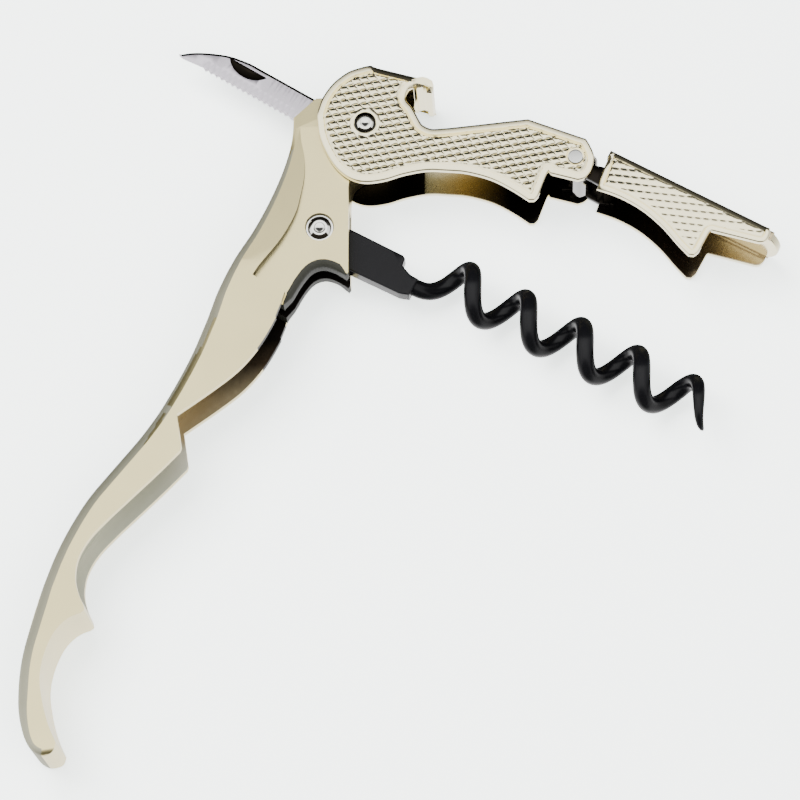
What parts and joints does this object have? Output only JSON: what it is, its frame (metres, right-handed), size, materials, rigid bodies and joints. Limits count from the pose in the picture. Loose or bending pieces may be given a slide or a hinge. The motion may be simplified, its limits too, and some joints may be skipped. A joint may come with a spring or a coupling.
{
  "type": "lever corkscrew",
  "caption": "Folding waiter's corkscrew with a cast S-shaped handle, a two-stage hinged lever with knurled plates, a coated worm and a serrated foil knife.",
  "frame": {"origin": "Under the middle of the box of the opened tool, on the surface that its side lies on", "axes": "+X and +Y span the flat of the tool, with the levers towards +X and the knife end towards +Y; +Z is its thickness and runs along every pivot"},
  "size_m": [0.1162, 0.1142, 0.012],
  "materials": {
    "satin_nickel": "satin warm nickel plating on a zinc die casting",
    "bright_nickel": "bright warm nickel plating on pressed steel, with knurled panels",
    "rivet_nickel": "bright nickel plated rivets",
    "spring_chrome": "bright chrome plated spring steel",
    "spring_steel": "blued spring steel",
    "blade_steel": "fine-ground stainless steel",
    "brass_washer": "plain brass shim",
    "black_coating": "smooth black non-stick coating on steel wire"
  },
  "bodies": {
    "handle": {"handle_body": "satin_nickel", "worm_detent_spring": "spring_steel", "spring_rivet": "spring_steel", "worm_pivot_rivet": "rivet_nickel", "worm_washers": "brass_washer", "knife_washers": "brass_washer"},
    "main_pivot": {"main_pivot_rivet": "rivet_nickel", "main_pivot_washers": "brass_washer"},
    "first_lever": {"first_lever": "bright_nickel", "hinge_rivet": "rivet_nickel", "hinge_spacer": "rivet_nickel", "hinge_spring": "spring_chrome"},
    "second_lever": {"second_lever": "bright_nickel"},
    "worm": {"worm_tang": "black_coating", "worm_helix": "black_coating"},
    "knife": {"knife_blade": "blade_steel"}
  },
  "joints": [
    {"name": "handle_fold", "type": "hinge", "parent": "main_pivot", "child": "handle", "pos_m": [-0.00635, 0.04251, 0.006], "axis": [0, 0, 1], "range_deg": [0, 80]},
    {"name": "lever_swing", "type": "hinge", "parent": "main_pivot", "child": "first_lever", "pos_m": [-0.00635, 0.04251, 0.006], "axis": [0, 0, 1], "range_deg": [-15.5, 15]},
    {"name": "second_lever_hinge", "type": "hinge", "parent": "first_lever", "child": "second_lever", "pos_m": [0.02635, 0.03632, 0.006], "axis": [0, 0, 1], "range_deg": [0, 60]},
    {"name": "worm_fold", "type": "hinge", "parent": "handle", "child": "worm", "pos_m": [-0.01345, 0.02582, 0.006], "axis": [0, 0, 1], "range_deg": [-96, 0]},
    {"name": "knife_fold", "type": "hinge", "parent": "handle", "child": "knife", "pos_m": [-0.00635, 0.04251, 0.006], "axis": [0, 0, 1], "range_deg": [0, 75]}
  ],
  "couplings": [
    {"joint": "worm_fold", "follows": "handle_fold", "ratio": -1.2}
  ]
}
